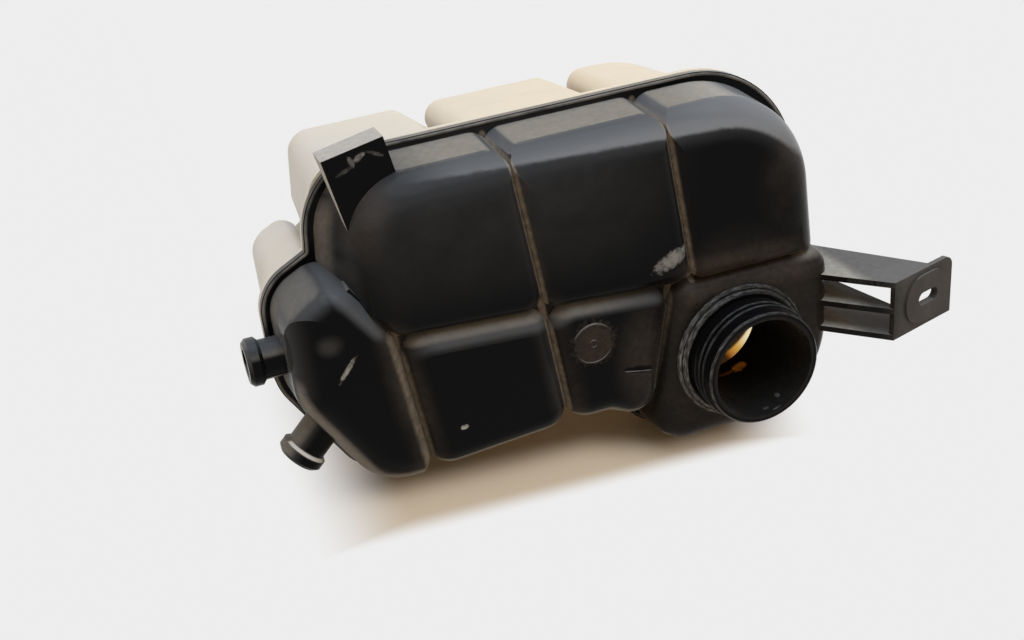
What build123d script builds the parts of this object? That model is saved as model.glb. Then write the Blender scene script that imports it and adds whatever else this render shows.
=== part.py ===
import os
from math import cos, radians, sin, tan

from build123d import *

# A coolant expansion tank: two moulded half shells, each with seven pillow-shaped cells, welded at lips.
# Millimetres and degrees. Z is up along the filler neck, X runs along the tank's long back side, and the
# origin is under the neck's axis on the plane that the cells' floors stand on.

# Shell: the dark upper half and the pale lower half, and the lips that are welded together
wall = 3.0
upper_depth = 37.0
upper_draft = 3.0
lower_depth = 70.0
lower_draft = 5.0
lip_width = 3.5
lip_thickness = 3.0

# Cells: how far a cell's wall runs past its groove line, its rounded edges, and the floors of the grooves
lap = 2.0
back_cell_round = 6.5
front_cell_round = 10.0
lower_cell_round = 6.5
corner_margin = 1.0
upper_groove_depth = 8.0
lower_groove_depth = 16.0
groove_share = 0.8
pit_radius = 6.0

# Domes: the upper half's large rounding, on an envelope that stands just clear of the cells' walls
dome_gap = 0.5
dome_round = 18.0
dome_lean = 13.0

# Groove lines in plan, from the neck's axis: the back seam, the middle groove and the columns between cells
seam_left_y = 108.2
seam_right_x = 37.5
seam_right_y = 111.2
back_right_x = 43.5
back_right_corner = 46.0
lower_right_corner = 56.0
shoulder_x = -166.0
shoulder_corner = 28.0
lower_shoulder_corner = 14.0
lower_shift_b = 12.0
lower_shift_c = 8.0
notch_step = 3.5
notch_y = 73.0
middle_left_y = 45.0
middle_right_y = 36.0
column_a_step = 16.0
column_b_x = -86.5
column_c_x = -19.0
groove_slant = 7.4

# Front edges of the left and centre cells, the neck cell and the end cell
left_front_y = -20.5
centre_front_y = -16.5
centre_bend_x = -61.0
neck_column_x = -28.5
neck_foot_x = -41.0
neck_foot_y = -26.0
neck_right_x = 48.0
neck_front_y = -42.0
neck_right_corner = 40.0
neck_left_corner = 15.0
neck_lip_x = -37.0
end_step = 25.0
end_front_y = -24.0
end_back_y = 62.0
end_slope_step = 27.0
end_slope_y = 22.0
end_back_corner = 16.0
end_foot_corner = 14.0
end_slope_corner = 24.0

# Passages that let the coolant run from cell to cell at the weld
passage_radius = 6.0
passage_length = 16.0

# Filler neck, with the skirt that hangs from it inside
neck_radius = 26.0
bore_radius = 22.8
neck_height = 23.0
collar_radius = 30.8
collar_root_radius = 28.4
collar_height = 4.0
collar_thickness = 2.0
step_radius = 28.9
step_height = 2.0
rim_chamfer = 0.8
skirt_wall = 2.2
skirt_clearance = 12.0

# Hose stubs
stub_radius = 8.3
stub_bore_radius = 5.8
stub_bead_radius = 10.0
stub_bead_length = 6.5
stub_bead_chamfer = 1.5
stub_height = 10.0
stub_root = 16.0
side_stub_y = 38.5
side_stub_reach = 14.0
corner_stub_reach = 18.0
corner_stub_angle = 225.0
corner_stub_share = 0.43

# Mounting ear on the right end: a tilted plate on two full arms with a gusset between them
ear_back_y = 24.0
ear_width = 28.0
ear_length = 39.5
ear_thickness = 2.4
ear_tilt = 16.3
ear_inner_x = 64.0
ear_inner_height = 60.5
ear_back_corner = 5.0
ear_front_corner = 10.0
web_thickness = 2.6
arm_reach = 25.0
arm_head_x = 38.0
arm_head_height = 31.0
gusset_reach = 3.0
gusset_foot = 7.0
slot_from_inner = 22.0
slot_length = 13.0
slot_width = 6.2
slot_rim = 17.0
slot_boss_height = 1.0

# Hook on the left shoulder: a plate with a lip that hangs over the car's bracket
hook_reach = 10.8
hook_height = 24.0
hook_turn = 11.3
hook_width = 25.5
hook_length = 33.0
hook_thickness = 2.6
hook_drop = 13.0

# Round mould mark on the cell beside the neck, and the short slit that an insert in the mould left near it
mark_radius = 9.3
mark_height = 0.5
mark_x = -68.0
mark_y = 21.0
slit_length = 15.0
slit_width = 2.0
slit_depth = 0.8
slit_x = -47.5
slit_y = 2.7
slit_turn = -12.0

# Heights and planes that follow
weld_z = lower_depth
front_z = weld_z + upper_depth
collar_z = front_z + collar_height
rim_z = front_z + neck_height
skirt_z = weld_z + skirt_clearance
weld_plane = Plane.XY.offset(weld_z)


def slanted(x, y_from, y_to):
    """Where a groove that passes x at y_from comes to at y_to."""
    return x + (y_from - y_to) * tan(radians(groove_slant))


def on_seam(x):
    """The point of the back seam at x."""
    rise = (seam_right_y - seam_left_y) / (seam_right_x - shoulder_x)
    return x, seam_left_y + (x - shoulder_x) * rise


# Points where groove lines cross, and where they reach the seam or a front edge
notch_x = shoulder_x - notch_step
column_a_x = shoulder_x + column_a_step
end_x = shoulder_x - end_step
end_slope_x = end_x + end_slope_step
middle_share = (column_b_x - column_a_x) / (column_c_x - column_a_x)
middle_a = (column_a_x, middle_left_y)
middle_b = (column_b_x, middle_left_y + middle_share * (middle_right_y - middle_left_y))
middle_c = (column_c_x, middle_right_y)
neck_top = (neck_column_x, middle_right_y)
neck_foot = (neck_foot_x, neck_foot_y)
seam_b = on_seam(slanted(*middle_b, seam_right_y))
seam_c = on_seam(slanted(*middle_c, seam_right_y))
lower_seam_b = on_seam(seam_b[0] - lower_shift_b)
lower_seam_c = on_seam(seam_c[0] - lower_shift_c)
front_a = (slanted(*middle_a, left_front_y), left_front_y)
front_b = (slanted(*middle_b, centre_front_y), centre_front_y)
centre_bend = (centre_bend_x, centre_front_y)
notch = (notch_x, notch_y)
shoulder = on_seam(shoulder_x)
back_right = on_seam(seam_right_x)
middle_right = (back_right_x, middle_right_y)
neck_back_right = (neck_right_x, middle_right_y)
neck_right = (neck_right_x, neck_front_y)
neck_left = (neck_foot_x, neck_front_y)
end_slope_top = (end_x, end_slope_y)
end_slope_foot = (end_slope_x, end_front_y)
end_back = (end_x, end_back_y)
end_front = (slanted(*middle_a, end_front_y), end_front_y)


def cell_corner(rounding, depth, draft):
    """Upright corner of a cell that leaves room for its rounded edge at the end of its draft."""
    return rounding + depth * tan(radians(draft)) + corner_margin - lap


def cell_plans(corner, front_corner, left_shoulder, right_corner, back_b, back_c):
    """The cells' outlines in plan, with a radius for each point: back row, front row, end and neck."""
    back = [
        ([shoulder, back_b, middle_b, middle_a, notch], [left_shoulder] + [corner] * 4),
        ([back_b, back_c, middle_c, middle_b], [corner] * 4),
        ([back_c, back_right, middle_right, middle_c], [corner, right_corner, corner, corner]),
    ]
    front = [
        ([middle_a, middle_b, front_b, front_a], [front_corner] * 4),
        ([middle_b, neck_top, neck_foot, centre_bend, front_b], [front_corner] * 5),
    ]
    end = (
        [notch, middle_a, end_front, end_slope_foot, end_slope_top, end_back],
        [front_corner] * 3 + [end_foot_corner, end_slope_corner, end_back_corner],
    )
    neck = (
        [neck_top, neck_back_right, neck_right, neck_left],
        [front_corner, front_corner, neck_right_corner, neck_left_corner],
    )
    return back, front, end, neck


back_corner = cell_corner(back_cell_round, upper_depth, upper_draft)
front_corner = cell_corner(front_cell_round, upper_depth, upper_draft)
lower_corner = cell_corner(lower_cell_round, lower_depth, lower_draft)
upper_back, upper_front, upper_end, upper_neck = cell_plans(
    back_corner, front_corner, shoulder_corner, back_right_corner, seam_b, seam_c
)
lower_back, lower_front, lower_end, lower_neck = cell_plans(
    lower_corner, lower_corner, lower_shoulder_corner, lower_right_corner, lower_seam_b, lower_seam_c
)

# The seam's own outline runs round all the cells, and the lips follow it
lip_grow = lap + lip_width
inside_corner = lip_grow + corner_margin
seam_outline = (
    [
        shoulder,
        back_right,
        neck_back_right,
        neck_right,
        (neck_lip_x, neck_front_y),
        (neck_lip_x, neck_foot_y + inside_corner),
        centre_bend,
        front_a,
        (front_a[0], end_front_y),
        end_slope_foot,
        end_slope_top,
        end_back,
        notch,
    ],
    [
        shoulder_corner,
        back_right_corner,
        shoulder_corner,
        neck_right_corner,
        neck_left_corner,
        inside_corner,
        inside_corner,
        corner_margin,
        corner_margin,
        end_foot_corner,
        end_slope_corner,
        end_back_corner,
        inside_corner,
    ],
)

# Envelopes in plan: one for the back and front cells, whose left side leans in, and one for the end cell
left_lean_x = shoulder_x - notch_step * (seam_left_y - neck_front_y) / (seam_left_y - notch_y)
main_plan = [shoulder, back_right, middle_right, (back_right_x, neck_front_y), (left_lean_x, neck_front_y)]
main_radii = [shoulder_corner, back_right_corner] + [shoulder_corner] * 3
end_plan = [
    (end_x, seam_left_y),
    (column_b_x, seam_left_y),
    (column_b_x, end_front_y),
    end_slope_foot,
    end_slope_top,
]
end_radii = [shoulder_corner] * 3 + [end_slope_corner] * 2


def outline(points, radii, grow, height=0.0):
    """Flat face of a plan outline at a height over the weld, grown outwards, or shrunk below nought."""
    with BuildSketch(weld_plane.offset(height)) as plan:
        with BuildLine():
            FilletPolyline(*points, radius=radii, close=True)
        make_face()
        offset(amount=grow)
    return plan.sketch


def pillow(points, radii, grow, depth, draft, rounding):
    """One cell standing on the weld plane: a drafted prism with a rounded top edge."""
    plan = outline(points, radii, grow)
    with BuildPart() as cell:
        extrude(plan, amount=depth, taper=draft)
        fillet(cell.faces().sort_by(Axis.Z)[-1].edges(), rounding)
    return cell.part


def hollow(points, radii, grow, depth, draft, bevel):
    """The space inside one cell: a drafted prism with a bevelled top edge."""
    plan = outline(points, radii, grow)
    with BuildPart() as space:
        extrude(plan, amount=depth, taper=draft)
        chamfer(space.faces().sort_by(Axis.Z)[-1].edges(), bevel)
    return space.part


def dome(points, radii, lean, inset):
    """An envelope with one large rounding all round, whose two left points lean in on the way up."""
    grow = lap + dome_gap - inset
    depth = upper_depth - inset
    middle_x = sum(x for x, _ in points) / len(points)
    top_points = [(x + lean if x < middle_x else x, y) for x, y in points]
    foot = outline(points, radii, grow)
    top = outline(top_points, radii, grow - depth * tan(radians(upper_draft)), depth)
    with BuildPart() as envelope:
        loft([foot, top], ruled=True)
        fillet(envelope.faces().sort_by(Axis.Z)[-1].edges(), dome_round - inset)
    return envelope.part


def upper_cells(shape, inset, back_edge, front_edge):
    """The upper half's cells, inset by a wall or by nothing, with the rows and the end cell under domes."""
    size = (lap - inset, upper_depth - inset, upper_draft)
    row_bodies = [shape(*plan, *size, back_edge) for plan in upper_back]
    row_bodies += [shape(*plan, *size, front_edge) for plan in upper_front]
    row_dome = dome(main_plan, main_radii, dome_lean, inset)
    end_body = shape(*upper_end, *size, front_edge)
    end_dome = dome(end_plan, end_radii, 0.0, inset)
    neck_body = shape(*upper_neck, *size, front_edge)
    with BuildPart() as end:
        add(end_body)
        add(end_dome, mode=Mode.INTERSECT)
    with BuildPart() as cells:
        add(row_bodies)
        add(row_dome, mode=Mode.INTERSECT)
        add(end.part)
        add(neck_body)
    return cells.part


def lower_cells(shape, inset, cell_edge):
    """The lower half's cells, inset by a wall or by nothing, standing up from the weld like the upper."""
    size = (lap - inset, lower_depth - inset, lower_draft)
    plans = lower_back + lower_front + [lower_end, lower_neck]
    bodies = [shape(*plan, *size, cell_edge) for plan in plans]
    with BuildPart() as cells:
        add(bodies)
    return cells.part


def with_lip(cells, floor, draft, grooves):
    """One half's solid outside: its cells, the floors of the grooves and pits between them and its lip."""
    lip_plan = outline(*seam_outline, lip_grow)
    with BuildSketch(weld_plane) as floors:
        for start, stop in grooves:
            with BuildLine():
                Line(start, stop)
            trace(line_width=2 * floor * tan(radians(draft)))
        with Locations(middle_a, middle_b, middle_c, neck_top):
            Circle(pit_radius)
    with BuildPart() as half:
        add(cells)
        extrude(lip_plan, amount=lip_thickness)
        extrude(floors.sketch, amount=floor)
    return half.part


def with_passages(spaces, passages):
    """One half's spaces, and the passages that join them at the weld."""
    with BuildPart() as hollows:
        add(spaces)
        for (start, stop), way in passages:
            middle = ((start[0] + stop[0]) / 2, (start[1] + stop[1]) / 2, weld_z)
            with Locations(Location(middle, way)):
                Cylinder(passage_radius, passage_length)
    return hollows.part


def towards(start, stop):
    """A groove's floor from a crossing most of the way to the wall, which keeps its own notch."""
    return start, tuple(a + groove_share * (b - a) for a, b in zip(start, stop))


def groove_lines(back_b, back_c):
    """Lines of a half's groove floors: between crossings, and from each crossing towards the walls."""
    return [
        (middle_a, middle_b),
        (middle_b, neck_top),
        (neck_top, middle_c),
        towards(middle_c, middle_right),
        towards(middle_a, notch),
        towards(middle_b, back_b),
        towards(middle_c, back_c),
        towards(middle_a, front_a),
        towards(middle_b, front_b),
        towards(neck_top, neck_foot),
    ]


def passage_lines(back_b, back_c):
    """A half's groove lines that a passage crosses, each with the turn that lays it along X or Y."""
    along_x = (0, 90, 0)
    along_y = (90, 0, 0)
    return [
        ((back_b, middle_b), along_x),
        ((back_c, middle_c), along_x),
        ((middle_a, front_a), along_x),
        ((middle_b, front_b), along_x),
        ((neck_top, neck_foot), along_x),
        ((middle_a, middle_b), along_y),
        ((middle_c, middle_right), along_y),
    ]


# Outside and hollows of each half, both standing up from the weld
upper_grooves = groove_lines(seam_b, seam_c)
lower_grooves = groove_lines(lower_seam_b, lower_seam_c)
upper_passages = passage_lines(seam_b, seam_c)
lower_passages = passage_lines(lower_seam_b, lower_seam_c)
upper_body = upper_cells(pillow, 0.0, back_cell_round, front_cell_round)
upper_outside = with_lip(upper_body, upper_depth - upper_groove_depth, upper_draft, upper_grooves)
upper_spaces = upper_cells(hollow, wall, back_cell_round / 2, front_cell_round / 2)
upper_hollows = with_passages(upper_spaces, upper_passages)
lower_body = lower_cells(pillow, 0.0, lower_cell_round)
lower_outside = with_lip(lower_body, lower_depth - lower_groove_depth, lower_draft, lower_grooves)
lower_hollows = with_passages(lower_cells(hollow, wall, lower_cell_round / 2), lower_passages)

# Hose stubs: each has a plane in the end cell's wall, whose normal is the way the hose leaves
stub_z = weld_z + stub_height
slope_x = end_x + corner_stub_share * (end_slope_x - end_x) - lap
slope_y = end_slope_y + corner_stub_share * (end_front_y - end_slope_y)
corner_way = (cos(radians(corner_stub_angle)), sin(radians(corner_stub_angle)), 0)
stubs = [
    (Plane((end_x - lap, side_stub_y, stub_z), x_dir=(0, 0, 1), z_dir=(-1, 0, 0)), side_stub_reach),
    (Plane((slope_x, slope_y, stub_z), x_dir=(0, 0, 1), z_dir=corner_way), corner_stub_reach),
]


def stub_body(plane, reach):
    """A hose stub turned about its plane's normal, with a bead at the mouth that keeps the hose on."""
    bead_from = reach - stub_bead_length
    with BuildPart() as stub:
        with BuildSketch(Plane(plane.origin, x_dir=plane.z_dir, z_dir=plane.y_dir)):
            with BuildLine():
                Polyline(
                    (-stub_root, 0),
                    (-stub_root, stub_radius),
                    (bead_from, stub_radius),
                    (bead_from + stub_bead_chamfer, stub_bead_radius),
                    (reach - stub_bead_chamfer, stub_bead_radius),
                    (reach, stub_bead_radius - stub_bead_chamfer),
                    (reach, 0),
                    close=True,
                )
            make_face()
        revolve(axis=Axis(plane.origin, plane.z_dir))
    return stub.part


stub_bodies = [stub_body(plane, reach) for plane, reach in stubs]

# Planes of the ear's plate, of its upright webs and of the hook's plate and side
tilt = radians(ear_tilt)
ear_middle_y = ear_back_y - ear_width / 2
ear_origin = (ear_inner_x, ear_middle_y, weld_z + ear_inner_height)
ear_plane = Plane(ear_origin, x_dir=(cos(tilt), 0, -sin(tilt)), z_dir=(sin(tilt), 0, cos(tilt)))
turn = radians(hook_turn)
hook_origin = (shoulder_x, seam_left_y + hook_reach, weld_z + hook_height)
hook_plane = Plane(hook_origin, x_dir=(cos(turn), sin(turn), 0), z_dir=(0, 0, 1))
hook_side = Plane(hook_origin, x_dir=hook_plane.y_dir, z_dir=hook_plane.x_dir)


def web_plane(y):
    """Upright plane of an ear web whose back face is at y, with its origin at the weld."""
    return Plane((0, y, weld_z), x_dir=(1, 0, 0), z_dir=(0, -1, 0))


# Webs of the ear, from inside the neck cell's wall out to the plate's underside
web_root_x = neck_right_x - front_cell_round - wall
under_x = ear_inner_x - ear_thickness * sin(tilt)
under_height = ear_inner_height - ear_thickness * cos(tilt)
web_outline = [
    (ear_inner_x, ear_inner_height),
    (arm_head_x, arm_head_height),
    (web_root_x, arm_head_height),
    (web_root_x, lip_thickness),
]
arm_outline = web_outline + [
    (neck_right_x + lip_grow, lip_thickness),
    (under_x + arm_reach * cos(tilt), under_height - arm_reach * sin(tilt)),
    (under_x, under_height),
]
gusset_outline = web_outline + [
    (neck_right_x + gusset_foot, lip_thickness),
    (under_x + gusset_reach * cos(tilt), under_height - gusset_reach * sin(tilt)),
    (under_x, under_height),
]
webs = [
    (ear_back_y, arm_outline),
    (ear_middle_y + web_thickness / 2, gusset_outline),
    (ear_back_y - ear_width + web_thickness, arm_outline),
]

with BuildPart() as upper_shell:
    add(upper_outside)

    # Filler neck with its collar and step, turned about the neck's axis
    with BuildSketch(Plane.XZ):
        with BuildLine():
            Polyline(
                (0, front_z - wall),
                (collar_root_radius, front_z - wall),
                (collar_root_radius, collar_z - collar_thickness),
                (collar_radius, collar_z - collar_thickness),
                (collar_radius, collar_z),
                (step_radius, collar_z),
                (step_radius, collar_z + step_height),
                (neck_radius, collar_z + step_height),
                (neck_radius, rim_z - rim_chamfer),
                (neck_radius - rim_chamfer, rim_z),
                (0, rim_z),
                close=True,
            )
        make_face()
    revolve(axis=Axis.Z)

    # Hose stubs
    add(stub_bodies)

    # Mounting ear: two arms and a gusset, the plate and the raised rim of its slot
    for web_y, web_points in webs:
        with BuildSketch(web_plane(web_y)):
            with BuildLine():
                Polyline(*web_points, close=True)
            make_face()
        extrude(amount=web_thickness)
    with BuildSketch(ear_plane) as ear_plan:
        Rectangle(ear_length, ear_width, align=(Align.MIN, Align.CENTER))
        outer_corners = ear_plan.vertices().group_by(Axis.X)[-1].sort_by(Axis.Y)
        fillet(outer_corners[-1], ear_back_corner)
        fillet(outer_corners[0], ear_front_corner)
    extrude(amount=-ear_thickness)
    with BuildSketch(ear_plane):
        with Locations((slot_from_inner, 0)):
            SlotOverall(slot_length + slot_rim, slot_width + slot_rim)
    extrude(amount=slot_boss_height)

    # Hook: a plate that grows out of the shoulder, a lip along its back and a side that tapers out
    with BuildSketch(hook_plane):
        Rectangle(hook_width, hook_length, align=(Align.MIN, Align.MAX))
    extrude(amount=-hook_thickness)
    with BuildSketch(hook_plane):
        Rectangle(hook_width, hook_thickness, align=(Align.MIN, Align.MAX))
    extrude(amount=-hook_drop)
    with BuildSketch(hook_side):
        with BuildLine():
            Polyline(
                (0, 0),
                (0, -hook_drop),
                (-hook_length, -hook_thickness),
                (-hook_length, 0),
                close=True,
            )
        make_face()
    extrude(amount=hook_thickness)

    # Mould mark, from inside the wall so that it stands on the cell's rounded edge too, and the slit
    with BuildSketch(Plane.XY.offset(front_z - wall)):
        with Locations((mark_x, mark_y)):
            Circle(mark_radius)
    extrude(amount=wall + mark_height)
    with BuildSketch(Plane.XY.offset(front_z)):
        with Locations(Location((slit_x, slit_y), slit_turn)):
            SlotOverall(slit_length, slit_width)
    extrude(amount=-slit_depth, mode=Mode.SUBTRACT)

    # The hollows are cut from all of it, and the skirt hangs into the neck cell's hollow
    add(upper_hollows, mode=Mode.SUBTRACT)
    with BuildSketch(Plane.XY.offset(skirt_z)):
        Circle(bore_radius + skirt_wall)
    extrude(amount=front_z - skirt_z)

    # Filler bore, hose bores and the ear's slot
    with BuildSketch(Plane.XY.offset(skirt_z)):
        Circle(bore_radius)
    extrude(amount=rim_z - skirt_z, mode=Mode.SUBTRACT)
    for plane, reach in stubs:
        with BuildSketch(plane.offset(-stub_root)):
            Circle(stub_bore_radius)
        extrude(amount=stub_root + reach, mode=Mode.SUBTRACT)
    with BuildSketch(ear_plane.offset(slot_boss_height)):
        with Locations((slot_from_inner, 0)):
            SlotOverall(slot_length, slot_width)
    extrude(amount=-slot_boss_height - ear_thickness, mode=Mode.SUBTRACT)
upper_shell.part.label = "upper_shell"

with BuildPart() as lower_shell:
    mirror(lower_outside, about=weld_plane)
    mirror(lower_hollows, about=weld_plane, mode=Mode.SUBTRACT)
lower_shell.part.label = "lower_shell"

os.makedirs("parts", exist_ok=True)
export_step(upper_shell.part, "parts/upper_shell.step")
export_step(lower_shell.part, "parts/lower_shell.step")
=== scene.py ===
import bpy
import numpy as np
from mathutils import Matrix, Vector


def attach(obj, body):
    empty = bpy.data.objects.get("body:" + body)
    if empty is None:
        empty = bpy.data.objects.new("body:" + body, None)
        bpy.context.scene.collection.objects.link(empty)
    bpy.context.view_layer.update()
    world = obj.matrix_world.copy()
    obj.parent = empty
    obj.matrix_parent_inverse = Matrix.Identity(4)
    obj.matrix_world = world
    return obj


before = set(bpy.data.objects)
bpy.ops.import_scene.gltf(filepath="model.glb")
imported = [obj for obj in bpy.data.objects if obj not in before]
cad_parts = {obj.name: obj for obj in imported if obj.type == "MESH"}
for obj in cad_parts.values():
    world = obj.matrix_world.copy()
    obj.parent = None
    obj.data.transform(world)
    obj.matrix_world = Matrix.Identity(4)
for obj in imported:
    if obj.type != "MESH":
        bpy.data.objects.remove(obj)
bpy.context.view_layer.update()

# ---------------------------------------------------------------------------------------------------------
# Pale half: the tank's lower moulding, natural polypropylene that has yellowed with heat and coolant.
# It is welded to the dark half at the lip, and its wall is thin enough for daylight to glow through it.
# Lengths here and below are in metres, and a fade is given by the two values that it runs between.
# ---------------------------------------------------------------------------------------------------------


def add(tree, kind, inputs=None, **settings):
    """A shader node with its settings, and with each input given as a value or as a socket to link."""
    made = tree.nodes.new("ShaderNode" + kind)
    for name, value in settings.items():
        setattr(made, name, value)
    for key, value in (inputs or {}).items():
        if isinstance(value, bpy.types.NodeSocket):
            tree.links.new(value, made.inputs[key])
        else:
            made.inputs[key].default_value = value
    return made


def maths(tree, operation, *terms):
    """The result of a Math node on one to three terms."""
    return add(tree, "Math", dict(enumerate(terms)), operation=operation).outputs[0]


def vectors(tree, operation, *terms, out="Vector"):
    """The result of a Vector Math node."""
    return add(tree, "VectorMath", dict(enumerate(terms)), operation=operation).outputs[out]


def fade(tree, value, low, high):
    """A smooth step of a value: 0 at low and 1 at high, or the other way round where low is larger."""
    limits = {"Value": value, "From Min": low, "From Max": high}
    return add(tree, "MapRange", limits, interpolation_type="SMOOTHSTEP").outputs["Result"]


def tint(tree, share, under, over):
    """The colour over laid on the colour under by a share."""
    mixed = add(tree, "Mix", {0: share, 6: under, 7: over}, data_type="RGBA", clamp_factor=True)
    return mixed.outputs[2]


def new_group(name, inputs, output):
    """An empty shader node group: its tree, its named input sockets and its one output socket."""
    tree = bpy.data.node_groups.new(name, "ShaderNodeTree")
    for label, kind in inputs.items():
        tree.interface.new_socket(label, in_out="INPUT", socket_type="NodeSocket" + kind)
    tree.interface.new_socket(output, in_out="OUTPUT", socket_type="NodeSocketFloat")
    return tree, tree.nodes.new("NodeGroupInput").outputs, tree.nodes.new("NodeGroupOutput").inputs[0]


# Grime cloud: patches of dirt, from noise on a point that is stretched by its own scale along each axis
grime, given, result = new_group(
    "grime cloud", {"Point": "Vector", "Stretch": "Vector", "Low": "Float", "High": "Float"}, "Mask"
)
stretched = vectors(grime, "MULTIPLY", given["Point"], given["Stretch"])
noise = add(grime, "TexNoise", {"Vector": stretched, "Scale": 1.0, "Detail": 4.0, "Roughness": 0.6})
grime.links.new(fade(grime, noise.outputs["Fac"], given["Low"], given["High"]), result)

# Groove distance: how far a point is, in plan, from the line of a groove between two ends
groove, given, result = new_group(
    "groove distance", {"Point": "Vector", "Start": "Vector", "Stop": "Vector"}, "Distance"
)
flat = vectors(groove, "MULTIPLY", given["Point"], (1.0, 1.0, 0.0))
along = vectors(groove, "SUBTRACT", given["Stop"], given["Start"])
from_start = vectors(groove, "SUBTRACT", flat, given["Start"])
covered = vectors(groove, "DOT_PRODUCT", from_start, along, out="Value")
whole = vectors(groove, "DOT_PRODUCT", along, along, out="Value")
ratio = add(groove, "Math", {0: covered, 1: whole}, operation="DIVIDE", use_clamp=True).outputs[0]
foot = add(groove, "VectorMath", {0: along, "Scale": ratio}, operation="SCALE").outputs["Vector"]
groove.links.new(vectors(groove, "DISTANCE", from_start, foot, out="Value"), result)

# Worn spot: an egg-shaped spot with a ragged edge, turned in plan, 1 in its middle and 0 beyond its half
# sizes; its distance from the middle gets noise added before it fades
spot, given, result = new_group(
    "worn spot", {"Point": "Vector", "Middle": "Vector", "Half": "Vector", "Turn": "Float"}, "Mask"
)
offset = vectors(spot, "SUBTRACT", given["Point"], given["Middle"])
turned = add(spot, "VectorRotate", {"Vector": offset, "Angle": given["Turn"]}, rotation_type="Z_AXIS")
in_halves = vectors(spot, "DIVIDE", turned.outputs[0], given["Half"])
reach = vectors(spot, "LENGTH", in_halves, out="Value")
ragged = add(spot, "TexNoise", {"Vector": given["Point"], "Scale": 600.0, "Detail": 3.0})
edge = maths(spot, "MULTIPLY_ADD", ragged.outputs["Fac"], 0.9, maths(spot, "SUBTRACT", reach, 0.45))
spot.links.new(fade(spot, edge, 1.0, 0.55), result)

# Mould grain: the fine spark-eroded texture that the tool leaves on both halves
grain, given, result = new_group("mould grain", {"Point": "Vector"}, "Height")
pitted = add(grain, "TexNoise", {"Vector": given["Point"], "Scale": 1400.0, "Detail": 2.0})
waved = add(grain, "TexNoise", {"Vector": given["Point"], "Scale": 45.0, "Detail": 1.0})
grain.links.new(maths(grain, "MULTIPLY_ADD", waved.outputs["Fac"], 6.0, pitted.outputs["Fac"]), result)


def in_group(tree, group, **inputs):
    """A node group placed in a material with its own inputs."""
    return add(tree, "Group", inputs, node_tree=group).outputs[0]


# Groove lines in plan that both halves share: the middle groove and the front columns
shared_grooves = [
    ((-0.1500, 0.0450, 0), (-0.0865, 0.0406, 0)),
    ((-0.0865, 0.0406, 0), (-0.0285, 0.0360, 0)),
    ((-0.0285, 0.0360, 0), (0.0440, 0.0360, 0)),
    ((-0.1500, 0.0450, 0), (-0.1695, 0.0730, 0)),
    ((-0.1500, 0.0450, 0), (-0.1411, -0.0240, 0)),
    ((-0.0865, 0.0406, 0), (-0.0791, -0.0165, 0)),
    ((-0.0285, 0.0360, 0), (-0.0410, -0.0260, 0)),
]


def nearest_groove(tree, point, lines):
    """The least of the distances to a list of groove lines."""
    distances = [in_group(tree, groove, Point=point, Start=a, Stop=b) for a, b in lines]
    least = distances[0]
    for distance in distances[1:]:
        least = maths(tree, "MINIMUM", least, distance)
    return least


def new_material(name, specular):
    """A material with one Principled shader, and its tree, shader, object point and object normal."""
    made = bpy.data.materials.new(name)
    made.use_nodes = True
    tree = made.node_tree
    shader = tree.nodes["Principled BSDF"]
    shader.inputs["Specular IOR Level"].default_value = specular
    place = add(tree, "TexCoord").outputs
    return made, tree, shader, place["Object"], place["Normal"]


def bump(tree, shader, point, distance):
    """Lets the mould grain roughen a shader's surface by a distance in metres."""
    height = in_group(tree, grain, Point=point)
    bumped = add(tree, "Bump", {"Height": height, "Strength": 0.35, "Distance": distance})
    tree.links.new(bumped.outputs["Normal"], shader.inputs["Normal"])


pale_plastic, tree, shader, point, normal = new_material("pale_plastic", specular=0.4)
x, _, z = add(tree, "SeparateXYZ", {0: point}).outputs
cool_cream = (0.60, 0.575, 0.53, 1.0)
warm_cream = (0.75, 0.655, 0.515, 1.0)
stain = (0.52, 0.40, 0.26, 1.0)
dirt = (0.20, 0.16, 0.12, 1.0)
amber = (0.20, 0.040, 0.002, 1.0)
honey = (0.52, 0.29, 0.055, 1.0)
day_cream = (0.76, 0.66, 0.42, 1.0)
unlit = (0.0, 0.0, 0.0, 1.0)
mottle = in_group(tree, grime, Point=point, Stretch=(14, 14, 14), Low=0.3, High=0.75)
warmth = maths(tree, "MULTIPLY_ADD", mottle, 0.25, fade(tree, x, -0.18, -0.04))
colour = tint(tree, warmth, cool_cream, warm_cream)
tide = in_group(tree, grime, Point=point, Stretch=(22, 22, 70), Low=0.5, High=0.8)
colour = tint(tree, maths(tree, "MULTIPLY", tide, 0.22), colour, stain)
speck = in_group(tree, grime, Point=point, Stretch=(420, 420, 420), Low=0.68, High=0.78)
pale_grooves = shared_grooves + [
    ((-0.0865, 0.0406, 0), (-0.1077, 0.1091, 0)),
    ((-0.0190, 0.0360, 0), (-0.0368, 0.1101, 0)),
]
in_groove = fade(tree, nearest_groove(tree, point, pale_grooves), 0.006, 0.0015)
in_groove = maths(tree, "MULTIPLY", in_groove, 0.4)
dusty = maths(tree, "MAXIMUM", in_groove, maths(tree, "MULTIPLY", speck, 0.35))
colour = tint(tree, dusty, colour, dirt)
tree.links.new(colour, shader.inputs["Base Color"])
tree.links.new(maths(tree, "MULTIPLY_ADD", mottle, 0.15, 0.36), shader.inputs["Roughness"])

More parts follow.
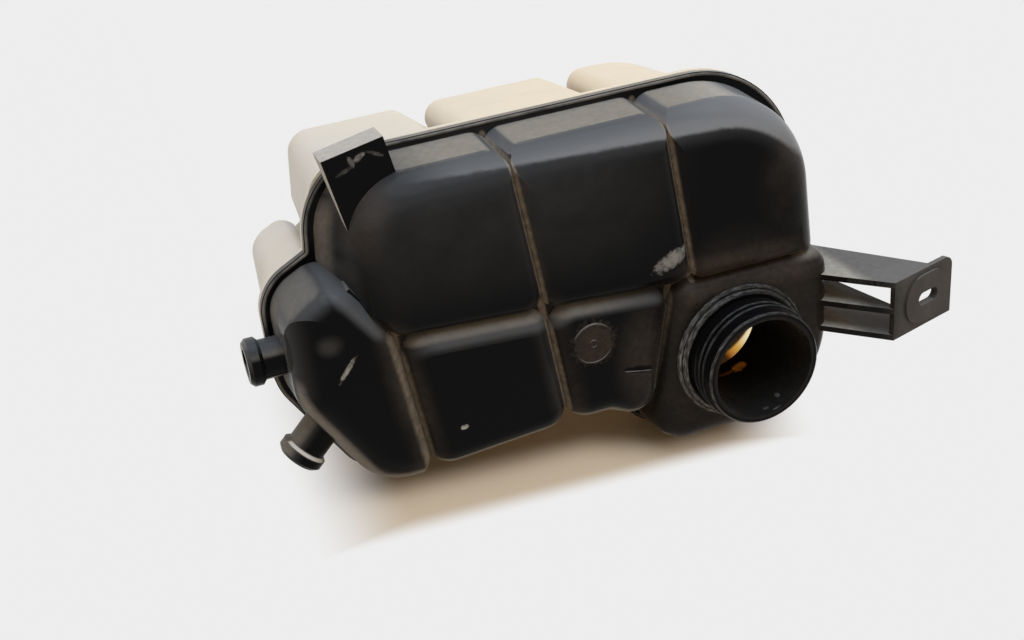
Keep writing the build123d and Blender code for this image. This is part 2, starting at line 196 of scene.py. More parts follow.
# Painted glow: an emission inside the neck's cell stands in for daylight through the wall, cream at the top
# and amber towards the coolant
facing_in = vectors(tree, "DOT_PRODUCT", normal, (-0.6, 0.8, 0.0), out="Value")
glow = in_group(tree, spot, Point=point, Middle=(0.031, -0.0315, 0.050), Half=(0.022, 0.022, 0.030))
glow = maths(tree, "MULTIPLY", glow, fade(tree, facing_in, 0.5, 0.8))
glow = maths(tree, "MULTIPLY", glow, fade(tree, x, 0.0222, 0.0255))
glow = maths(tree, "MULTIPLY", glow, fade(tree, z, 0.0508, 0.0528))
daylight = tint(tree, fade(tree, x, 0.0225, 0.0300), amber, honey)
daylight = tint(tree, fade(tree, x, 0.0285, 0.0355), daylight, day_cream)
tree.links.new(tint(tree, glow, unlit, daylight), shader.inputs["Emission Color"])
shader.inputs["Emission Strength"].default_value = 1.0
shader.inputs["Subsurface Weight"].default_value = 0.35
shader.inputs["Subsurface Radius"].default_value = (1.0, 0.75, 0.45)
shader.inputs["Subsurface Scale"].default_value = 0.006
bump(tree, shader, point, distance=0.00004)

pale_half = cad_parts["lower_shell"]
pale_half.data.materials.clear()
pale_half.data.materials.append(pale_plastic)

# ---------------------------------------------------------------------------------------------------------
# Dark half: the upper moulding, black-filled polypropylene with a satin gloss, injection moulded with the
# neck, the stubs, the ear and the hook in one piece. Dust lies on its back walls and in its grooves.
# ---------------------------------------------------------------------------------------------------------
dark_plastic, tree, shader, point, normal = new_material("dark_plastic", specular=0.055)
x, y, z = add(tree, "SeparateXYZ", {0: point}).outputs
facing_right, facing_back, facing_up = add(tree, "SeparateXYZ", {0: normal}).outputs
radius = vectors(tree, "LENGTH", vectors(tree, "MULTIPLY", point, (1.0, 1.0, 0.0)), out="Value")
black = (0.0032, 0.0032, 0.0038, 1.0)
thin_reflection = (0.105, 0.112, 0.124, 1.0)
thick_reflection = (0.26, 0.275, 0.30, 1.0)
brown_film = (0.095, 0.078, 0.065, 1.0)
ear_film = (0.092, 0.086, 0.083, 1.0)
ear_dust = (0.138, 0.135, 0.136, 1.0)
groove_dust = (0.29, 0.245, 0.195, 1.0)
grey_dust = (0.265, 0.247, 0.218, 1.0)
pale_dust = (0.38, 0.36, 0.325, 1.0)
edge_reflection_grey = (0.23, 0.22, 0.215, 1.0)
chalk = (0.48, 0.465, 0.44, 1.0)
scuff_and_reflection_grey = (0.42, 0.43, 0.44, 1.0)
bore_grey = (0.018, 0.0175, 0.017, 1.0)
bead_highlight_white = (0.90, 0.89, 0.87, 1.0)
amber_gleam = (0.10, 0.028, 0.003, 1.0)

broad = in_group(tree, grime, Point=point, Stretch=(28, 28, 28), Low=0.3, High=0.72)
fine = in_group(tree, grime, Point=point, Stretch=(330, 330, 330), Low=0.32, High=0.68)


def product(*terms):
    """All the terms multiplied together."""
    whole = terms[0]
    for term in terms[1:]:
        whole = maths(tree, "MULTIPLY", whole, term)
    return whole


def most(*terms):
    """The largest of the terms."""
    whole = terms[0]
    for term in terms[1:]:
        whole = maths(tree, "MAXIMUM", whole, term)
    return whole


def part_of(value, slope, start):
    """A share that starts at a value and grows by a slope with another value."""
    return maths(tree, "MULTIPLY_ADD", value, slope, start)


def band(value, middle, half):
    """A soft stripe of a value: 1 in its middle and 0 beyond half its width."""
    return fade(tree, maths(tree, "ABSOLUTE", maths(tree, "SUBTRACT", value, middle)), half, half * 0.4)


def patch(middle, half):
    """A soft egg-shaped patch: 1 in its middle and 0 beyond its half sizes."""
    offset = vectors(tree, "DIVIDE", vectors(tree, "SUBTRACT", point, middle), half)
    return fade(tree, vectors(tree, "LENGTH", offset, out="Value"), 1.0, 0.25)


def facing(way):
    """How far the surface faces a way."""
    return vectors(tree, "DOT_PRODUCT", normal, way, out="Value")


# The neck is handled too often to keep its dust
below_collar = product(fade(tree, z, 0.1085, 0.1075), fade(tree, radius, 0.0245, 0.0260))
off_neck = most(fade(tree, radius, 0.0312, 0.0330), below_collar)

# Painted reflection: a thin grey layer stands in for the overhead light's reflection on all that faces the
# back, and likewise on the front cells' upper edges, the left end and in clouds on the fronts; its sharp
# edge comes lower from the left cell to the right
held_x = maths(tree, "MINIMUM", maths(tree, "MAXIMUM", x, -0.13), 0.05)
leaning = maths(tree, "ADD", facing_back, part_of(held_x, 2.8, 0.12))
in_back_row = fade(tree, y, 0.040, 0.050)
in_main = fade(tree, x, -0.166, -0.150)
back_reflection = product(fade(tree, leaning, 0.42, 0.55), in_back_row, in_main)
# Painted shade: the reflection is drawn weaker towards the left end, where the hook shades the back wall
back_reflection = product(back_reflection, part_of(fade(tree, x, -0.145, -0.112), 0.72, 0.28))
reaching = maths(tree, "MULTIPLY_ADD", fade(tree, x, -0.075, -0.086), 0.24, facing_back)
in_front_row = maths(tree, "SUBTRACT", 1.0, in_back_row)
front_reflection = product(fade(tree, reaching, 0.22, 0.60), in_front_row, fade(tree, x, -0.026, -0.036))
front_reflection = product(front_reflection, fade(tree, x, -0.149, -0.132), 0.8)
at_end = maths(tree, "SUBTRACT", 1.0, in_main)
end_way = facing((-0.62, 0.785, 0.0))
end_reflection = product(fade(tree, end_way, 0.25, 0.85), at_end, fade(tree, y, 0.080, 0.072), 0.6)
end_edge_reflection = product(fade(tree, facing((0.82, 0.571, 0.0)), 0.20, 0.60), fade(tree, x, -0.146, -0.152))
end_edge_reflection = product(end_edge_reflection, fade(tree, y, 0.044, 0.050), 0.85)
turned_back = product(fade(tree, facing_back, 0.02, 0.50), 0.32)
left_front = product(fade(tree, y, 0.040, 0.100), fade(tree, x, -0.010, -0.060), part_of(broad, 0.16, 0.16))
fronts_reflection = product(most(turned_back, left_front), in_back_row, in_main)
hook_front = product(fade(tree, facing_up, 0.97, 0.99), band(z, 0.094, 0.0012))
hook_front = product(hook_front, fade(tree, y, 0.080, 0.084), fade(tree, x, -0.118, -0.122))
off_hook = maths(tree, "SUBTRACT", 1.0, hook_front)
reflected = product(most(back_reflection, front_reflection, end_reflection, end_edge_reflection, fronts_reflection), off_neck, off_hook)
richer = most(fade(tree, facing_back, 0.92, 0.45), fade(tree, x, -0.045, 0.030))
reflection_colour = tint(tree, product(richer, back_reflection, 0.8), thin_reflection, thick_reflection)
colour = tint(tree, product(reflected, 0.9), black, reflection_colour)

# Brown road dirt beside the front grooves, round the neck, under the hook, on the mould mark and on the
# right cell
front_columns = [
    ((-0.1515, 0.0450, 0), (-0.1426, -0.0240, 0)),
    ((-0.0865, 0.0406, 0), (-0.0791, -0.0165, 0)),
    ((-0.0285, 0.0360, 0), (-0.0410, -0.0260, 0)),
]
back_columns = [
    ((-0.0862, 0.0406, 0), (-0.0954, 0.1092, 0)),
    ((-0.0187, 0.0360, 0), (-0.0285, 0.1102, 0)),
]
near_front = nearest_groove(tree, point, front_columns)
near_back = nearest_groove(tree, point, back_columns)
by_front = product(fade(tree, near_front, 0.011, 0.002), 0.36)
by_back = product(fade(tree, near_back, 0.005, 0.001), 0.16)
by_neck = fade(tree, x, -0.055, -0.045)
less_by_neck = part_of(by_neck, -0.55, 1.0)
beside = product(most(by_front, by_back), part_of(broad, 0.7, 0.3), less_by_neck)
round_neck = product(fade(tree, radius, 0.062, 0.034), part_of(broad, 0.15, 0.20))
round_neck = product(round_neck, part_of(fade(tree, x, -0.042, -0.022), 0.55, 0.45))
above_neck = product(fade(tree, radius, 0.062, 0.040), fade(tree, y, 0.016, 0.030))
above_neck = product(above_neck, fade(tree, y, 0.052, 0.044), fade(tree, x, -0.034, -0.022))
above_neck = product(above_neck, part_of(broad, 0.2, 0.36))
mark_middle = (-0.068, 0.021, 0.1075)
on_mark = in_group(tree, spot, Point=point, Middle=mark_middle, Half=(0.0125, 0.0125, 0.004))
by_slit = product(patch((-0.044, 0.006, 0.107), (0.018, 0.034, 0.010)), 0.34)
under_hook = patch((-0.154, 0.096, 0.097), (0.020, 0.026, 0.020))
under_hook = product(under_hook, fade(tree, facing_right, -0.10, -0.45), 0.32)
right_cell = product(patch((0.030, 0.072, 0.106), (0.022, 0.034, 0.012)), part_of(broad, 0.25, 0.05))
browned = most(beside, round_neck, above_neck, product(on_mark, 0.40), by_slit, under_hook, right_cell)
browned = product(browned, off_neck, part_of(fine, 0.3, 0.7))
colour = tint(tree, browned, colour, brown_film)

# The ear is greyer than the cells, and its upper side is dusty; near the cell wall the ear is left black as
# painted shade
at_ear = fade(tree, x, 0.052, 0.060)
ear_grey_and_root_shade = product(fade(tree, x, 0.058, 0.072), part_of(broad, 0.4, 0.5))
colour = tint(tree, ear_grey_and_root_shade, colour, ear_film)
ear_top = product(fade(tree, facing_back, 0.90, 0.97), at_ear, part_of(fine, 0.2, 0.8))
colour = tint(tree, ear_top, colour, ear_dust)
# Painted shade: the slit beside the mark stays black, for the shade in its recess
slit_middle, slit_half, slit_turn = (-0.0475, 0.0027, 0.1066), (0.0088, 0.0022, 0.003), 0.21
slit_shade = in_group(tree, spot, Point=point, Middle=slit_middle, Half=slit_half, Turn=slit_turn)
colour = tint(tree, slit_shade, colour, black)

# Coolant has left a dull grey skin inside the neck
in_bore = product(fade(tree, radius, 0.0245, 0.0235), part_of(fine, 0.3, 0.7))
colour = tint(tree, in_bore, colour, bore_grey)

# Pale dust that has packed into the bottom of the columns, twice as wide in the left one
narrowed = product(near_front, part_of(fade(tree, x, -0.125, -0.138), -0.45, 1.0))
in_front_columns = product(fade(tree, narrowed, 0.0021, 0.0009), less_by_neck)
packed = most(in_front_columns, fade(tree, near_back, 0.0019, 0.0007))
packed = product(packed, fade(tree, z, 0.1066, 0.1040), part_of(fine, 0.35, 0.40))
colour = tint(tree, packed, colour, groove_dust)

# Thick grey dust on the back walls, on the front cells' upper edges, and low on the walls at the left end
left_wall = product(fade(tree, facing_right, -0.70, -0.90), fade(tree, z, 0.088, 0.078))
left_wall = product(left_wall, fade(tree, x, -0.150, -0.158), 0.5)
upper_edge = product(fade(tree, facing_back, 0.38, 0.62), fade(tree, y, 0.046, 0.042))
upper_edge = product(upper_edge, fade(tree, x, -0.035, -0.075), 0.62)
end_wall = product(fade(tree, end_way, 0.88, 0.97), at_end, 0.36)
back_wall_dust_and_shade = product(fade(tree, facing_back, 0.925, 0.985), in_main)
# Painted shade: less dust is drawn towards the left end, where the hook shades the back wall
back_wall_dust_and_shade = product(back_wall_dust_and_shade, part_of(fade(tree, x, -0.150, -0.115), 0.6, 0.4))
right_shoulder = product(fade(tree, facing_back, 0.45, 0.85), fade(tree, x, 0.028, 0.036))
right_shoulder = product(right_shoulder, fade(tree, y, 0.044, 0.040), 0.5)
settled = most(back_wall_dust_and_shade, left_wall, end_wall, upper_edge, right_shoulder)
settled = product(settled, off_neck, part_of(at_ear, -1.0, 1.0), part_of(fine, 0.25, 0.75))
dust = tint(tree, fade(tree, x, -0.020, 0.008), grey_dust, pale_dust)
colour = tint(tree, settled, colour, dust)

# Painted reflection: a grey line along the front cells' lower edges, standing in for the pale table
# reflected at a grazing angle
slope_edge_reflection = product(fade(tree, facing((-0.862, -0.506, 0.0)), 0.60, 0.80), fade(tree, x, -0.146, -0.154))
front_edge_reflection = product(fade(tree, facing_back, -0.50, -0.68), fade(tree, x, -0.028, -0.036))
lower_edge_reflection = product(most(slope_edge_reflection, front_edge_reflection), fade(tree, z, 0.094, 0.098), fade(tree, y, 0.036, 0.030))
lower_edge_reflection = product(lower_edge_reflection, part_of(fine, 0.2, 0.7))
colour = tint(tree, lower_edge_reflection, colour, edge_reflection_grey)

# Chalky wear on the hook's back edge and left side, where the car's bracket rubbed, and a painted white
# highlight on one stub's bead
hook_back = product(fade(tree, facing_back, 0.93, 0.97), fade(tree, y, 0.1172, 0.1182))
hook_left = product(fade(tree, facing((-0.981, -0.196, 0.0)), 0.95, 0.98), fade(tree, y, 0.084, 0.088))
hook_left = product(hook_left, fade(tree, z, 0.0795, 0.0805))
# Painted highlight: a white crescent on the front of the corner stub's bead shoulder
from_wall = vectors(tree, "SUBTRACT", point, (-0.18139, 0.00222, 0.080))
along_stub = vectors(tree, "DOT_PRODUCT", from_wall, (-0.7071, -0.7071, 0.0), out="Value")
bead_highlight = product(band(along_stub, 0.0123, 0.0008), fade(tree, z, 0.0815, 0.0835))
bead_highlight = product(bead_highlight, fade(tree, y, 0.004, 0.001), fade(tree, x, -0.183, -0.186))
chalked = product(most(hook_back, hook_left), part_of(fine, 0.2, 0.8))
colour = tint(tree, chalked, colour, chalk)
colour = tint(tree, bead_highlight, colour, bead_highlight_white)

# Scuffs, where tools and boxes have rubbed the black off: middle, half sizes, turn and strength of each
scuffs = [
    ((-0.0300, 0.0497, 0.107), (0.0105, 0.0042, 0.004), -0.42, 0.62),
    ((-0.1716, 0.0384, 0.107), (0.0072, 0.0013, 0.004), -0.90, 0.85),
    ((-0.1279, -0.0014, 0.107), (0.0019, 0.0014, 0.004), 0.00, 1.00),
    ((-0.1512, 0.1178, 0.094), (0.0030, 0.0014, 0.002), -0.55, 0.55),
    ((-0.1545, 0.1165, 0.094), (0.0012, 0.0028, 0.002), -0.30, 0.35),
    ((-0.1450, 0.1180, 0.094), (0.0046, 0.0009, 0.002), 0.45, 0.22),
    ((-0.1575, 0.1135, 0.094), (0.0050, 0.0010, 0.002), -0.35, 0.16),
    ((0.0106, -0.0201, 0.1218), (0.0013, 0.0013, 0.0020), 0.00, 0.22),
    ((0.0029, -0.0226, 0.1254), (0.0018, 0.0014, 0.0011), 0.00, 0.20),
    ((0.0067, -0.0218, 0.1284), (0.0032, 0.0014, 0.0008), 0.00, 0.26),
]
worn = None
for middle, half, turn, strength in scuffs:
    mark = product(in_group(tree, spot, Point=point, Middle=middle, Half=half, Turn=turn), strength)
    worn = mark if worn is None else most(worn, mark)
worn = product(worn, part_of(fine, 0.7, 0.3))
dull_spot = product(patch((-0.177, 0.050, 0.107), (0.007, 0.006, 0.006)), part_of(broad, 0.10, 0.05))

# Scratchy lines on the collar's two edges, the thread and the rim, from noise that is drawn out round the
# neck: partly rubbing of a screw cap, partly painted reflection along these edges, stronger to the left on
# the collar and rim and towards the top on the thread
turn_angle = maths(tree, "ARCTAN2", y, x)
drawn_radius = maths(tree, "MULTIPLY", radius, 900.0)
drawn_out = add(tree, "CombineXYZ", {0: turn_angle, 1: drawn_radius, 2: z}).outputs[0]
lines = in_group(tree, grime, Point=drawn_out, Stretch=(7.0, 2.2, 1500), Low=0.38, High=0.64)
to_left = fade(tree, vectors(tree, "DOT_PRODUCT", point, (-0.8, -0.6, 0.0), out="Value"), -0.022, 0.024)
on_edges = most(band(radius, 0.0304, 0.0010), band(radius, 0.0285, 0.0010))
on_edges = product(on_edges, fade(tree, z, 0.1085, 0.1095), fade(tree, z, 0.1140, 0.1135))
on_edges = product(on_edges, part_of(to_left, 0.36, 0.30), part_of(fine, 0.5, 0.5))
on_top = fade(tree, vectors(tree, "DOT_PRODUCT", point, (-0.3, 0.95, 0.0), out="Value"), -0.010, 0.022)
on_thread = product(fade(tree, radius, 0.0262, 0.0266), fade(tree, z, 0.1145, 0.1155))
on_thread = product(on_thread, part_of(on_top, 0.10, 0.02))
on_rim = product(band(radius, 0.0258, 0.0007), fade(tree, z, 0.1285, 0.1290), part_of(to_left, 0.15, 0.12))
rubbed_and_reflected = product(most(on_edges, on_rim, on_thread), part_of(lines, 0.8, 0.2))
colour = tint(tree, most(worn, rubbed_and_reflected, dull_spot), colour, scuff_and_reflection_grey)
tree.links.new(colour, shader.inputs["Base Color"])

# Painted glow: a faint amber emission in the bore stands in for the pale half's amber wall gleaming there
gleam = in_group(tree, spot, Point=point, Middle=(0.0096, -0.0206, 0.0906), Half=(0.0044, 0.0040, 0.0034))
tail = in_group(tree, spot, Point=point, Middle=(0.0030, -0.0226, 0.0903), Half=(0.0052, 0.0030, 0.0012))
gleam = product(most(gleam, product(tail, 0.5)), part_of(fine, 0.7, 0.3))
tree.links.new(tint(tree, gleam, unlit, amber_gleam), shader.inputs["Emission Color"])
shader.inputs["Emission Strength"].default_value = 1.0

# Dust, wear, rubbing and the painted edge reflections take the gloss away
dull = most(settled, packed, product(browned, 0.6), worn, chalked)
dull = most(dull, product(ear_grey_and_root_shade, 0.5), product(rubbed_and_reflected, 0.8), lower_edge_reflection)
sheen = part_of(broad, 0.08, 0.16)
tree.links.new(part_of(dull, 0.5, sheen), shader.inputs["Roughness"])
shader.inputs["Sheen Weight"].default_value = 0.10
shader.inputs["Sheen Roughness"].default_value = 0.30
shader.inputs["Sheen Tint"].default_value = (0.9, 0.86, 0.82, 1.0)
bump(tree, shader, point, distance=0.00003)

dark_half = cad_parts["upper_shell"]
dark_half.data.materials.clear()
dark_half.data.materials.append(dark_plastic)

# ---------------------------------------------------------------------------------------------------------
# Neck thread: the ridge that a screw cap runs on, of the dark half's own plastic and moulded with it. It
# climbs more than two and a half times round the neck above the collar and fades out at both ends.
# ---------------------------------------------------------------------------------------------------------


def carried(name, finish, spine, out, up, profile, closed):
    """A closed profile carried along a spine: every ring is the spine's point plus the profile's first
    number times its outward way and its second number times its upward way. Rings are joined by quads,
    a closed spine meets itself, and an open one is capped; the faces are turned so that they point out."""
    rings = spine[:, None, :] + profile[..., 0:1] * out[:, None, :] + profile[..., 1:2] * up[:, None, :]
    count, sides = rings.shape[:2]
    steps = np.arange(count if closed else count - 1)[:, None]
    around = np.arange(sides)[None, :]
    here, there = steps * sides, (steps + 1) % count * sides
    after = (around + 1) % sides
    quads = np.stack([here + around, here + after, there + after, there + around], axis=-1).reshape(-1, 4)
    points = rings.reshape(-1, 3)
    a, b, c, d = (points[quads[:, k]] for k in range(4))
    volume = np.einsum("ij,ij->i", a, np.cross(b, c) + np.cross(c, d)).sum()
    faces = quads.tolist()
    if not closed:
        first, last = np.arange(sides)[::-1], np.arange(sides) + (count - 1) * sides
        faces += [first.tolist(), last.tolist()]
    if volume < 0:
        faces = [face[::-1] for face in faces]
    mesh = bpy.data.meshes.new(name)
    mesh.from_pydata(points.tolist(), [], faces)
    mesh.polygons.foreach_set("use_smooth", np.ones(len(faces), dtype=bool))
    mesh.update()
    piece = bpy.data.objects.new(name, mesh)
    bpy.context.scene.collection.objects.link(piece)
    piece.data.materials.append(finish)
    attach(piece, "root")


def round_axis(angle):
    """Outward ways at angles round the Z axis, as rows of X, Y and nought."""
    return np.stack([np.cos(angle), np.sin(angle), np.zeros_like(angle)], axis=1)


thread_foot = 0.0257
thread_lift = 0.0002
thread_height = 0.0009
thread_crest = 0.0005
thread_from, thread_to = 0.1165, 0.1255
thread_turns = 2.6
thread_start = np.radians(150.0)
thread_rings = 420
ends_per_thread = 18.0
thread_profile = np.array([
    [0, -2.1], [0.35, -1.85], [0.85, -0.85], [1, -0.5], [1, 0.5], [0.85, 0.85], [0.35, 1.6], [0, 1.8],
])
skyward = np.array([0.0, 0.0, 1.0])

# The ridge rises along a quarter of a sine wave at each end, an eighteenth of the thread's length
share = np.linspace(0.0, 1.0, thread_rings)
way_out = round_axis(thread_start + share * thread_turns * 2.0 * np.pi)
climb = (thread_from + share * (thread_to - thread_from))[:, None] * skyward
swell = np.clip(np.stack([share, 1 - share]) * ends_per_thread, 0.0, 1.0)
rise = np.sin(swell * np.pi / 2).prod(axis=0)
proud = thread_lift + rise[:, None] * thread_height * thread_profile[None, :, 0]
thread_sides = np.stack([proud, np.broadcast_to(thread_profile[:, 1] * thread_crest, proud.shape)], axis=-1)
upright = np.broadcast_to(skyward, way_out.shape)
thread_spine = way_out * thread_foot + climb
carried("neck_thread", dark_plastic, thread_spine, way_out, upright, thread_sides, False)

# ---------------------------------------------------------------------------------------------------------
# Weld rib: the bead of melted plastic that the hot-plate weld pressed up along the dark half's lip. It is
# the halves' own polypropylene and runs all the way round the tank, just inside the lip's edge.
# ---------------------------------------------------------------------------------------------------------
seam_corners = np.array([
    [-166.0, 108.2], [37.5, 111.2], [48.0, 36.0], [48.0, -42.0], [-37.0, -42.0], [-37.0, -19.5],
    [-61.0, -16.5], [-141.49, -20.5], [-141.49, -24.0], [-164.0, -24.0], [-191.0, 22.0], [-191.0, 62.0],
    [-169.5, 73.0],
]) / 1000
seam_radii = np.array([28.0, 46.0, 28.0, 40.0, 15.0, 6.5, 6.5, 1.0, 1.0, 14.0, 24.0, 16.0, 6.5]) / 1000
least_radius = 0.0006
arc_steps = 17
bow_steps = 9
seam_to_rib = 0.0044
lip_top = 0.073
rib_radius = 0.0007
rib_sunk = 0.0001
bead_black = (0.035, 0.034, 0.033, 1.0)
bead_dust = (0.20, 0.19, 0.175, 1.0)


def round_seam(grow):
    """The seam's outline, grown by a distance: each edge is moved outwards along its normal, neighbours
    are cut with each other, and each corner becomes an arc between the points where it touches them."""
    edges = np.roll(seam_corners, -1, axis=0) - seam_corners
    edges /= np.linalg.norm(edges, axis=1)[:, None]
    normals = np.stack([-edges[:, 1], edges[:, 0]], axis=1)
    before, after = np.roll(edges, 1, axis=0), edges
    turn = before[:, 0] * after[:, 1] - before[:, 1] * after[:, 0]
    mitre = np.roll(normals, 1, axis=0) + normals
    mitre *= (grow / (mitre * normals).sum(axis=1))[:, None]
    corners = seam_corners + mitre
    radii = np.maximum(seam_radii - np.sign(turn) * grow, least_radius)
    half = np.arctan2(np.abs(turn), (before * after).sum(axis=1)) / 2
    reach = radii * np.tan(half)
    sweep = np.linspace(-1.0, 1.0, arc_steps)
    middle = corners + np.sign(turn)[:, None] * radii[:, None] * normals + after * reach[:, None]
    start = np.arctan2(-np.sign(turn) * normals[:, 1], -np.sign(turn) * normals[:, 0])
    angles = start[:, None] + np.sign(turn)[:, None] * half[:, None] * (sweep[None, :] - 1.0)
    arcs = middle[:, None, :] + radii[:, None, None] * np.stack([np.cos(angles), np.sin(angles)], axis=-1)
    path = arcs.reshape(-1, 2)
    return np.concatenate([path, np.zeros((len(path), 1))], axis=1)


def half_round(radius, sunk, count):
    """A half circle, radius times cosine and sine of half a turn, sunk a little, for a count of rings."""
    sweep = np.linspace(0.0, np.pi, bow_steps)
    bow = np.stack([radius * np.cos(sweep), radius * np.sin(sweep) - sunk], axis=1)
    return np.broadcast_to(bow, (count, *bow.shape))


bead_finish, tree, shader, point, _ = new_material("bead_finish", specular=0.3)
patchy = in_group(tree, grime, Point=point, Stretch=(60, 60, 60), Low=0.3, High=0.7)
tree.links.new(tint(tree, patchy, bead_black, bead_dust), shader.inputs["Base Color"])
tree.links.new(maths(tree, "MULTIPLY_ADD", patchy, 0.3, 0.35), shader.inputs["Roughness"])
bump(tree, shader, point, distance=0.00003)

rib_path = round_seam(seam_to_rib)
onward = np.roll(rib_path, -1, axis=0) - np.roll(rib_path, 1, axis=0)
onward /= np.linalg.norm(onward, axis=1)[:, None]
rib_out = np.stack([-onward[:, 1], onward[:, 0], np.zeros(len(onward))], axis=1)
rib_up = np.broadcast_to(skyward, rib_path.shape)
rib_profile = half_round(rib_radius, rib_sunk, len(rib_path))
carried("weld_rib", bead_finish, rib_path + skyward * lip_top, rib_out, rib_up, rib_profile, True)

# ---------------------------------------------------------------------------------------------------------
# Mould mark's rings: a fine raised ring round the mark and a small one in its middle, of the dark half's
# own plastic. The turned insert in the mould leaves them on the moulding.
# ---------------------------------------------------------------------------------------------------------
ring_steps = 96
ring_sunk = 0.00005
way_out = round_axis(np.linspace(0.0, 2 * np.pi, ring_steps + 1)[:-1])
ring_up = np.broadcast_to(skyward, way_out.shape)
for ring_name, ring_radius, ring_size in (("mark_ring", 0.0088, 0.00035), ("mark_centre", 0.0016, 0.0003)):
    ring_path = np.array(mark_middle) + way_out * ring_radius
    ring_profile = half_round(ring_size, ring_sunk, len(ring_path))
    carried(ring_name, dark_plastic, ring_path, way_out, ring_up, ring_profile, True)

# ---------------------------------------------------------------------------------------------------------
# Stage: a pale table that the tank lies on with its neck to the viewer, fading to white at both sides and
# in front, a large soft light overhead and the camera of the photograph. None of it is part of the tank.
# ---------------------------------------------------------------------------------------------------------
right = Vector((0.9295, -0.0976, 0.3557))
up = Vector((0.2431, 0.8875, -0.3914))
back = Vector((-0.2775, 0.4503, 0.8487))
table_up = Vector((0.106, 0.985, 0.134)).normalized()
towards = right.cross(table_up).normalized()
sideways = table_up.cross(towards).normalized()

table_half = 4.0
left_slant, front_slant = -0.4, 0.45
table_grey = (0.761, 0.761, 0.760, 1.0)
table_shade = (0.68, 0.56, 0.41, 1.0)
warm_light = (0.53, 0.43, 0.32, 1.0)
white_light = (0.847, 0.847, 0.847, 1.0)


def lowest_along(node, way):
    """The least of a node's corners' distances along a way."""
    spots = np.empty(len(node.data.vertices) * 3, dtype=np.float32)
    node.data.vertices.foreach_get("co", spots)
    return float((spots.reshape(-1, 3) @ np.array(way)).min())


def seen_ray(tree):
    """1 for what the viewer sees, also in gloss or through glass, and 0 for light that bounces about."""
    rays = add(tree, "LightPath").outputs
    looked = maths(tree, "MAXIMUM", rays["Is Camera Ray"], rays["Is Glossy Ray"])
    return maths(tree, "MAXIMUM", looked, rays["Is Transmission Ray"])


def mixed_shader(tree, share, under, over):
    """The shader over laid on the shader under by a share."""
    return add(tree, "MixShader", {0: share, 1: under, 2: over}).outputs[0]


table_height = min(lowest_along(node, table_up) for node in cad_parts.values())
table_middle = table_up * table_height
table_mesh = bpy.data.meshes.new("table")
table_turns = ((-1, -1), (-1, 1), (1, 1), (1, -1))
table_corners = [table_middle + (sideways * a + towards * b) * table_half for a, b in table_turns]
table_mesh.from_pydata(table_corners, [], [(0, 1, 2, 3)])
table_mesh.update()
table = bpy.data.objects.new("table", table_mesh)
bpy.context.scene.collection.objects.link(table)

table_paint, tree, shader, point, _ = new_material("table_paint", specular=0.2)
shader.inputs["Roughness"].default_value = 0.9
seen = seen_ray(tree)
across = vectors(tree, "DOT_PRODUCT", point, tuple(sideways), out="Value")
ahead = vectors(tree, "DOT_PRODUCT", point, tuple(towards), out="Value")
left_of = maths(tree, "MULTIPLY_ADD", ahead, left_slant, across)
ahead_of = maths(tree, "MULTIPLY_ADD", across, front_slant, ahead)

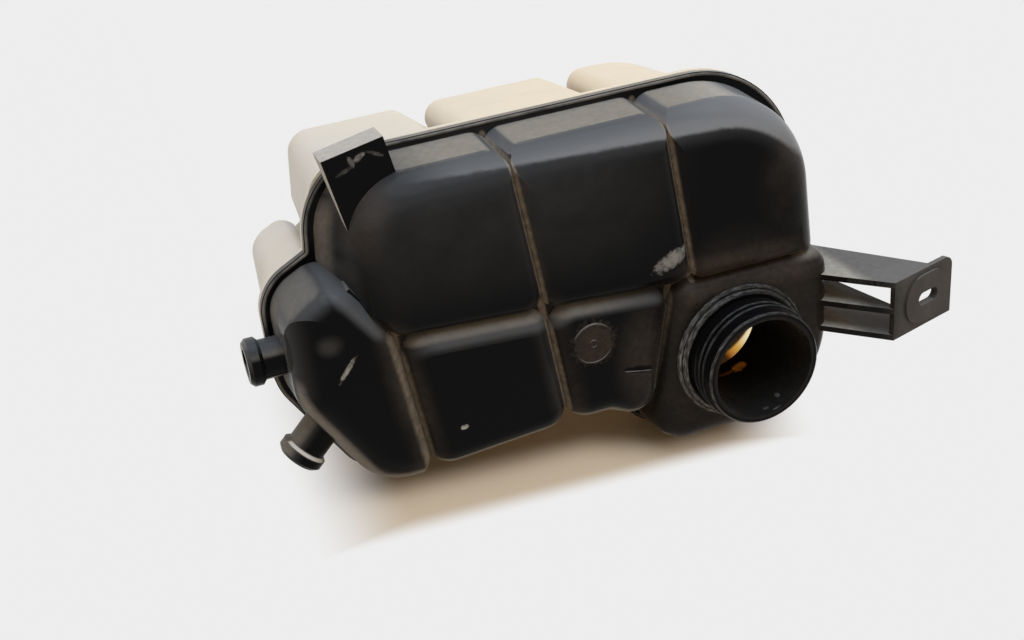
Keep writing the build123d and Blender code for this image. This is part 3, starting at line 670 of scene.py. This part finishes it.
# Painted shadow: the table's colour is warmer where the tank's shadow falls, and a warm emission paints a
# half shade before the white begins
table_colour = tint(tree, fade(tree, ahead_of, 0.03, 0.07), table_grey, table_shade)
tree.links.new(table_colour, shader.inputs["Base Color"])
by_neck_cell = fade(tree, across, -0.030, 0.015)
shade_edge = maths(tree, "MULTIPLY_ADD", by_neck_cell, -0.018, ahead_of)
half_shade = maths(tree, "MULTIPLY", fade(tree, shade_edge, 0.080, 0.105), 0.8)
aside = maths(tree, "MAXIMUM", fade(tree, left_of, -0.160, -0.213), fade(tree, across, 0.038, 0.085))
aside = maths(tree, "MAXIMUM", aside, fade(tree, ahead_of, 0.111, 0.125))
warm = add(tree, "Emission", {"Color": warm_light, "Strength": 1.0}).outputs[0]
white = add(tree, "Emission", {"Color": white_light, "Strength": 1.0}).outputs[0]
surface = mixed_shader(tree, maths(tree, "MULTIPLY", seen, half_shade), shader.outputs[0], warm)
surface = mixed_shader(tree, maths(tree, "MULTIPLY", seen, aside), surface, white)

# From below the table is clear, so that it doesn't hide the tank
below = add(tree, "NewGeometry").outputs["Backfacing"]
surface = mixed_shader(tree, below, surface, add(tree, "BsdfTransparent").outputs[0])
tree.links.new(surface, tree.nodes["Material Output"].inputs["Surface"])
table_mesh.materials.append(table_paint)

# The room lights the tank with a warm glow, and shows as white itself
room_glow, room_strength = (1.0, 0.76, 0.50, 1.0), 0.44
room_white = (0.85, 0.85, 0.85, 1.0)
world = bpy.data.worlds.new("room")
bpy.context.scene.world = world
world.use_nodes = True
tree = world.node_tree
room = tree.nodes["Background"]
room.inputs["Color"].default_value = room_glow
room.inputs["Strength"].default_value = room_strength
pale = add(tree, "Background", {"Color": room_white, "Strength": 1.0})
surface = mixed_shader(tree, seen_ray(tree), room.outputs[0], pale.outputs[0])
tree.links.new(surface, tree.nodes["World Output"].inputs["Surface"])

sun_strength, sun_spread, sun_lean = 2.80, np.radians(60.0), 0.05
sun_colour = (0.755, 0.872, 1.0)
light_data = bpy.data.lights.new("overhead", "SUN")
light_data.energy = sun_strength
light_data.angle = sun_spread
light_data.color = sun_colour
overhead = bpy.data.objects.new("overhead", light_data)
bpy.context.scene.collection.objects.link(overhead)
overhead.rotation_mode = "QUATERNION"
light_way = table_up + towards * sun_lean
overhead.rotation_quaternion = light_way.to_track_quat("Z", "Y")

sensor, focal_pixels, image_pixels = 36.0, 1300, 1024
camera_place = (-0.248, 0.2776, 0.5521)
camera_turn = Matrix((right, up, back)).transposed().to_4x4()
camera_data = bpy.data.cameras.new("camera")
camera_data.sensor_width = sensor
camera_data.lens = sensor * focal_pixels / image_pixels
camera = bpy.data.objects.new("camera", camera_data)
bpy.context.scene.collection.objects.link(camera)
camera.matrix_world = Matrix.Translation(camera_place) @ camera_turn
bpy.context.scene.camera = camera
bpy.context.scene.view_settings.view_transform = "Standard"
